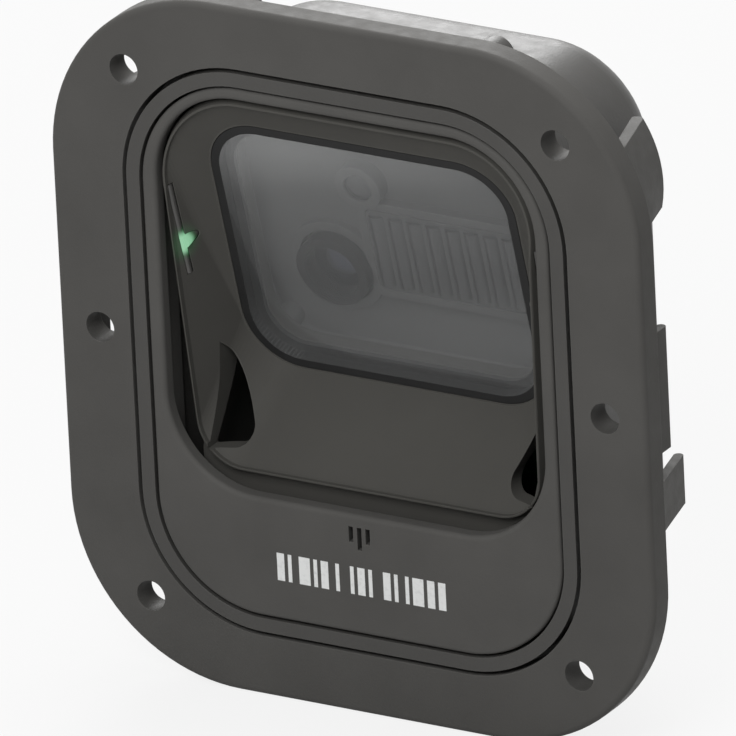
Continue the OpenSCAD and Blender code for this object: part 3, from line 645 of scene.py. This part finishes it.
@dataclass(frozen=True)
class AmberFilm(Finish):
    """Flexible film with copper tracks under it."""

    colour: Colour
    copper: Colour
    track_scale: float = 320.0
    track_span: Span = (0.45, 0.55)
    track_height: float = 0.01 * MM
    roughness: float = 0.3
    coat: float = 0.4

    def paint(self, graph: ShaderGraph) -> None:
        """Sets up the film.

        Args:
            graph: The material's nodes.
        """
        tracks = graph.add("ShaderNodeTexWave", {"Scale": self.track_scale}, bands_direction="X")
        graph.wire(graph.place, tracks, "Vector")
        graph.tint(tracks.outputs["Fac"], self.colour, self.copper, self.track_span)
        graph.fix(Roughness=self.roughness, Coat_Weight=self.coat)
        graph.relief(tracks.outputs["Fac"], self.track_height)


@dataclass(frozen=True)
class LampChip(Finish):
    """Pale lamp chips with a grainy phosphor."""

    colour: Colour
    phosphor: Colour
    grain: float = 2400.0
    grain_span: Span = (0.4, 0.6)
    roughness: Span = (0.25, 0.4)

    def paint(self, graph: ShaderGraph) -> None:
        """Sets up the chip.

        Args:
            graph: The material's nodes.
        """
        grains = graph.noise(self.grain, detail=3.0)
        graph.tint(grains, self.phosphor, self.colour, self.grain_span)
        graph.roughen(grains, *self.roughness)


@dataclass(frozen=True)
class PrintInk(Finish):
    """Pad-printed ink with thin spots."""

    colour: Colour
    thin_tone: float = 0.86
    thin_scale: float = 1500.0
    thin_span: Span = (0.25, 0.5)
    roughness: Span = (0.45, 0.6)
    specular: float = 0.35

    def paint(self, graph: ShaderGraph) -> None:
        """Sets up the ink.

        Args:
            graph: The material's nodes.
        """
        spots = graph.noise(self.thin_scale, detail=3.0)
        graph.tint(spots, scaled(self.colour, self.thin_tone), self.colour, self.thin_span)
        graph.roughen(spots, *self.roughness)
        graph.fix(Specular_IOR_Level=self.specular)


@dataclass(frozen=True)
class FloorPaint(Finish):
    """Dull paint that looks nearly white where it is seen and still takes a shadow."""

    colour: Colour = (0.5, 0.5, 0.5)
    glow: float = 0.84
    cloud_tone: float = 0.98
    cloud_scale: float = 3.0
    roughness: float = 0.9
    specular: float = 0.1

    def paint(self, graph: ShaderGraph) -> None:
        """Sets up the paint.

        Args:
            graph: The material's nodes.
        """
        cloud = graph.noise(self.cloud_scale, detail=2.0)
        graph.tint(cloud, scaled(self.colour, self.cloud_tone), self.colour)
        graph.fix(Roughness=self.roughness, Specular_IOR_Level=self.specular)
        share = graph.add("ShaderNodeMath", {1: self.glow}, operation="MULTIPLY")
        graph.wire(seen_directly(graph.tree), share, 0)
        mix = graph.add("ShaderNodeMixShader")
        graph.wire(share.outputs["Value"], mix, "Fac")
        graph.wire(graph.shader.outputs["BSDF"], mix, 1)
        graph.wire(graph.add("ShaderNodeEmission").outputs["Emission"], mix, 2)
        graph.wire(mix.outputs["Shader"], graph.output, "Surface")


# Where the lit light pipe comes through the left wall of the recess.
LIT_POINT: Point = (-31.16 * MM, -0.83 * MM, 15.0 * MM)


class Look(Enum):
    """The finishes of the reader, by what they are on."""

    BEZEL = MouldedPlastic("moulded_bezel", shade(81, 80, 78))
    HOUSING = MouldedPlastic("moulded_housing", shade(70, 69, 67), roughness=0.4, specular=0.22)
    COVER = MouldedPlastic("moulded_cover", shade(83, 82, 80))
    FRAME = HaloPlastic(
        "moulded_frame",
        shade(75, 74, 71),
        roughness=0.55,
        cloud=0.04,
        grain_depth=0.01 * MM,
        glow=shade(8, 50, 22),
        lit_at=LIT_POINT,
        core=0.6 * MM,
        reach=4.2 * MM,
    )
    GASKET = SoftRubber("black_gasket", shade(22, 22, 22))
    WINDOW = TintedGlass(
        "tinted_window",
        start=(-24.0 * MM, 0.0, 35.0 * MM),
        end=(-16.0 * MM, 0.0, -5.0 * MM),
        # Grey smoke tint with a painted reflection at the top left, painted shade across the middle and a
        # little painted light at the bottom.
        haze=(
            (0.0, shade(208, 209, 209)),
            (0.3, shade(134, 135, 135)),
            (0.7, shade(110, 111, 111)),
            (1.0, shade(134, 135, 135)),
        ),
    )
    LIT_PIPE = GlowingPipe(
        "lit_light_pipe",
        shade(76, 75, 73),
        heart=shade(132, 190, 150),
        glow=shade(24, 104, 50),
        lit_at=LIT_POINT,
        core=0.8 * MM,
        reach=3.2 * MM,
    )
    DARK_PIPE = FrostedPlastic("dark_light_pipe", shade(76, 75, 73))
    CHASSIS = MouldedPlastic("moulded_chassis", shade(98, 98, 98), roughness=0.6)
    CLEAR = ClearPlastic("smoky_clear", shade(80, 81, 82))
    BOARD = SolderMask("solder_mask", shade(24, 82, 48), shade(48, 118, 70), shade(196, 160, 84))
    LAMP = LampChip("phosphor_lamp", shade(236, 232, 214), shade(224, 200, 110))
    LENS = CoatedLens("coated_lens", shade(14, 18, 28), shade(120, 140, 210))
    BLACK = MouldedPlastic("moulded_black", shade(30, 30, 31), roughness=0.45, grain_depth=0.01 * MM)
    IVORY = MouldedPlastic("moulded_ivory", shade(214, 206, 188), roughness=0.45)
    FILM = AmberFilm("amber_flex", shade(196, 122, 52), shade(150, 84, 40))
    BRASS = BrushedMetal("spring_brass", shade(214, 178, 92), roughness=0.22)
    STEEL = BrushedMetal("plated_steel", shade(176, 178, 181))
    INK = PrintInk("print_ink", shade(228, 229, 228))

    @property
    def material(self) -> bpy.types.Material:
        """The finish's material, made the first time it is asked for."""
        return bpy.data.materials.get(self.value.name) or self.value.build()


@dataclass
class SubAssembly:
    """A group of the reader's pieces that are dressed together."""

    looks: dict[str, Look] = field(default_factory=dict)
    merge_distance: float = 1e-7

    def build(self) -> list[bpy.types.Object]:
        """Dresses the group's solids and makes its own pieces.

        Returns:
            The objects of the whole group.
        """
        solids = [self.dress(node, look) for node, look in self.looks.items()]
        return solids + self.make()

    def dress(self, node: str, look: Look) -> bpy.types.Object:
        """Gives a solid its finish.

        Args:
            node: Name of the solid.
            look: Its finish.

        Returns:
            The solid's object.
        """
        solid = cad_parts[node]
        solid.data.materials.clear()
        solid.data.materials.append(look.material)
        return solid

    def make(self) -> list[bpy.types.Object]:
        """Makes the group's own pieces; most groups have none."""
        return []

    def settle(self, name: str, mesh: bmesh.types.BMesh, look: Look, slot: str) -> bpy.types.Object:
        """Turns a finished bmesh into a piece that rides on the reader.

        Args:
            name: Name of the piece.
            mesh: The bmesh, with its place in its vertices.
            look: The piece's finish.
            slot: Material slot of the record; not used.

        Returns:
            The piece's object.
        """
        bmesh.ops.remove_doubles(mesh, verts=mesh.verts, dist=self.merge_distance)
        bmesh.ops.recalc_face_normals(mesh, faces=mesh.faces)
        data = bpy.data.meshes.new(name)
        mesh.to_mesh(data)
        mesh.free()
        data.materials.append(look.material)
        piece = bpy.data.objects.new(name, data)
        bpy.context.scene.collection.objects.link(piece)
        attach(piece, BODY)
        return piece


@dataclass
class BezelSet(SubAssembly):
    """The bezel plate and the screws that hold the head to it."""

    looks: dict[str, Look] = field(
        default_factory=lambda: {"mounting_bezel": Look.BEZEL, "bezel_screws": Look.STEEL}
    )


@dataclass
class HeadShell(SubAssembly):
    """The rear housing and front cover, with a plain bar print on the chin."""

    looks: dict[str, Look] = field(
        default_factory=lambda: {
            "rear_housing": Look.HOUSING,
            "front_cover": Look.COVER,
            "cover_screws": Look.STEEL,
        }
    )
    print_centre_z: float = -35.0 * MM
    print_width: float = 30.0 * MM
    print_height: float = 4.6 * MM
    ink_thickness: float = 0.04 * MM
    ink_sink: float = 0.01 * MM
    # Widths of the bars and of the gaps between them in turn, in equal modules.
    bars: tuple[int, ...] = (
        2, 1, 1, 2, 3, 1, 1, 1, 2, 2, 1, 3, 1, 1, 2, 1, 1, 3, 2, 1, 1, 2, 1, 1, 3, 1, 2, 1, 2,
    )

    def make(self) -> list[bpy.types.Object]:
        """Makes the row of printed bars.

        Returns:
            The print's object.
        """
        centre_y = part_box("front_cover")[0].y - self.ink_thickness / 2 + self.ink_sink
        module = self.print_width / sum(self.bars)
        mesh = bmesh.new()
        left = -self.print_width / 2
        for index, modules in enumerate(self.bars):
            width = modules * module
            if index % 2 == 0:
                place = Matrix.Translation((left + width / 2, centre_y, self.print_centre_z))
                size = Matrix.Diagonal((width, self.ink_thickness, self.print_height, 1.0))
                bmesh.ops.create_cube(mesh, size=1.0, matrix=place @ size)
            left += width
        return [self.settle("chin_print", mesh, Look.INK, "connector_plastic")]


@dataclass
class ReadingRecess(SubAssembly):
    """The lofted window frame with its window, gasket and light pipes."""

    looks: dict[str, Look] = field(
        default_factory=lambda: {
            "window_frame": Look.FRAME,
            "window_gasket": Look.GASKET,
            "scan_window": Look.WINDOW,
            "light_pipe_left": Look.LIT_PIPE,
            "light_pipe_right": Look.DARK_PIPE,
            "frame_screws": Look.STEEL,
        }
    )


@dataclass
class OpticsPack(SubAssembly):
    """The camera, lamps and their tray behind the window."""

    looks: dict[str, Look] = field(
        default_factory=lambda: {
            "optics_chassis": Look.CHASSIS,
            "illumination_lens": Look.CLEAR,
            "aimer_lens": Look.CLEAR,
            "illumination_board": Look.BOARD,
            "illumination_leds": Look.LAMP,
            "aimer_led": Look.LAMP,
            "indicator_leds": Look.LAMP,
            "lens_holder": Look.BLACK,
            "objective_lens": Look.LENS,
            "imager_board": Look.BOARD,
            "image_sensor": Look.LENS,
            "board_header": Look.BLACK,
            "chassis_screws": Look.STEEL,
        }
    )


@dataclass
class Electronics(SubAssembly):
    """The main board, what it carries, and the beeper."""

    looks: dict[str, Look] = field(
        default_factory=lambda: {
            "main_board": Look.BOARD,
            "processor_chip": Look.BLACK,
            "memory_chip": Look.BLACK,
            "flex_connector": Look.IVORY,
            "flex_cable": Look.FILM,
            "interface_jack": Look.BLACK,
            "jack_contacts": Look.BRASS,
            "beeper": Look.BLACK,
            "board_screws": Look.STEEL,
        }
    )


@dataclass(frozen=True)
class SoftBox:
    """A square area lamp that points at the reader."""

    name: str
    place: Point
    size: float
    power: float

    def build(self) -> None:
        """Makes the lamp."""
        lamp = bpy.data.lights.new(self.name, "AREA")
        lamp.size = self.size
        lamp.energy = self.power
        stand = bpy.data.objects.new(self.name, lamp)
        stand.location = self.place
        stand.rotation_euler = Vector(self.place).to_track_quat("Z", "Y").to_euler()
        bpy.context.scene.collection.objects.link(stand)


@dataclass
class Studio:
    """Pale floor, soft lamps and white surroundings."""

    floor_half: float = 4.0
    floor_paint: FloorPaint = FloorPaint("floor_paint")
    ambient: float = 0.35
    shown: float = 1.0
    lamps: tuple[SoftBox, ...] = (
        SoftBox("key_lamp", (0.05, -0.36, 0.32), 0.25, 1.4),
        SoftBox("top_lamp", (0.0, 0.35, 1.1), 0.9, 9.0),
        SoftBox("rim_lamp", (-0.7, 1.1, 0.7), 0.8, 15.0),
    )

    def build(self) -> None:
        """Makes the floor, the lamps and the world."""
        self.lay_floor()
        for lamp in self.lamps:
            lamp.build()
        self.light_world()
        bpy.context.scene.view_settings.view_transform = "Standard"

    def lay_floor(self) -> None:
        """Lays the floor under the reader's lowest point."""
        mesh = bmesh.new()
        level = Matrix.Translation((0.0, 0.0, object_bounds()[0].z))
        bmesh.ops.create_grid(mesh, x_segments=1, y_segments=1, size=self.floor_half, matrix=level)
        data = bpy.data.meshes.new("studio_floor")
        mesh.to_mesh(data)
        mesh.free()
        data.materials.append(self.floor_paint.build())
        floor = bpy.data.objects.new("studio_floor", data)
        bpy.context.scene.collection.objects.link(floor)
        floor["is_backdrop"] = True

    def light_world(self) -> None:
        """Lights the world evenly, and shows it white where it is seen."""
        world = bpy.data.worlds.new("studio_world")
        world.use_nodes = True
        tree = world.node_tree
        tree.nodes.clear()
        mix = tree.nodes.new("ShaderNodeMixShader")
        tree.links.new(seen_directly(tree), mix.inputs["Fac"])
        for socket, strength in enumerate((self.ambient, self.shown), start=1):
            background = tree.nodes.new("ShaderNodeBackground")
            background.inputs["Color"].default_value = opaque(WHITE)
            background.inputs["Strength"].default_value = strength
            tree.links.new(background.outputs["Background"], mix.inputs[socket])
        output = tree.nodes.new("ShaderNodeOutputWorld")
        tree.links.new(mix.outputs["Shader"], output.inputs["Surface"])
        bpy.context.scene.world = world


@dataclass
class ViewCamera:
    """Camera at the photograph's viewing angle, with angles in degrees."""

    azimuth: float = 31.0
    elevation: float = 22.8
    roll: float = 2.8
    distance: float = 4.0
    frame_width: float = 112.99 * MM
    face_centre: Point = (0.0, -4.5 * MM, 0.0)
    right_of_face: float = 2.58 * MM
    above_face: float = 0.71 * MM
    # Blender gives a sensor's width in millimetres.
    sensor_width: float = 36.0
    clip_end: float = 20.0

    def build(self) -> None:
        """Makes the camera and makes it the scene's."""
        turn = math.radians(self.azimuth)
        lift = math.radians(self.elevation)
        tip = math.radians(self.roll)
        back = Vector((math.sin(turn) * math.cos(lift), -math.cos(turn) * math.cos(lift), math.sin(lift)))
        level_right = Vector((math.cos(turn), math.sin(turn), 0.0))
        level_up = back.cross(level_right)
        right = math.cos(tip) * level_right - math.sin(tip) * level_up
        up = math.sin(tip) * level_right + math.cos(tip) * level_up
        centre = Vector(self.face_centre) + self.right_of_face * right + self.above_face * up
        data = bpy.data.cameras.new("view_camera")
        data.sensor_width = self.sensor_width
        data.lens = self.sensor_width * self.distance / self.frame_width
        data.clip_end = self.clip_end
        camera = bpy.data.objects.new("view_camera", data)
        turned = Matrix((right, up, back)).transposed().to_4x4()
        camera.matrix_world = Matrix.Translation(centre + self.distance * back) @ turned
        bpy.context.scene.collection.objects.link(camera)
        bpy.context.scene.camera = camera


def main() -> None:
    """Sets up the camera, dresses the reader, makes its own pieces and sets up the studio."""
    logging.basicConfig(level=logging.INFO, format="%(name)s: %(message)s")
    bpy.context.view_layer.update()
    ViewCamera().build()
    LOG.info("camera set up")
    for group in (BezelSet(), HeadShell(), ReadingRecess(), OpticsPack(), Electronics()):
        for piece in group.build():
            mesh = piece.data
            LOG.info("%s: %s, %d faces", piece.name, mesh.materials[0].name, len(mesh.polygons))
    Studio().build()
    LOG.info("studio set up")


if __name__ == "__main__":
    main()
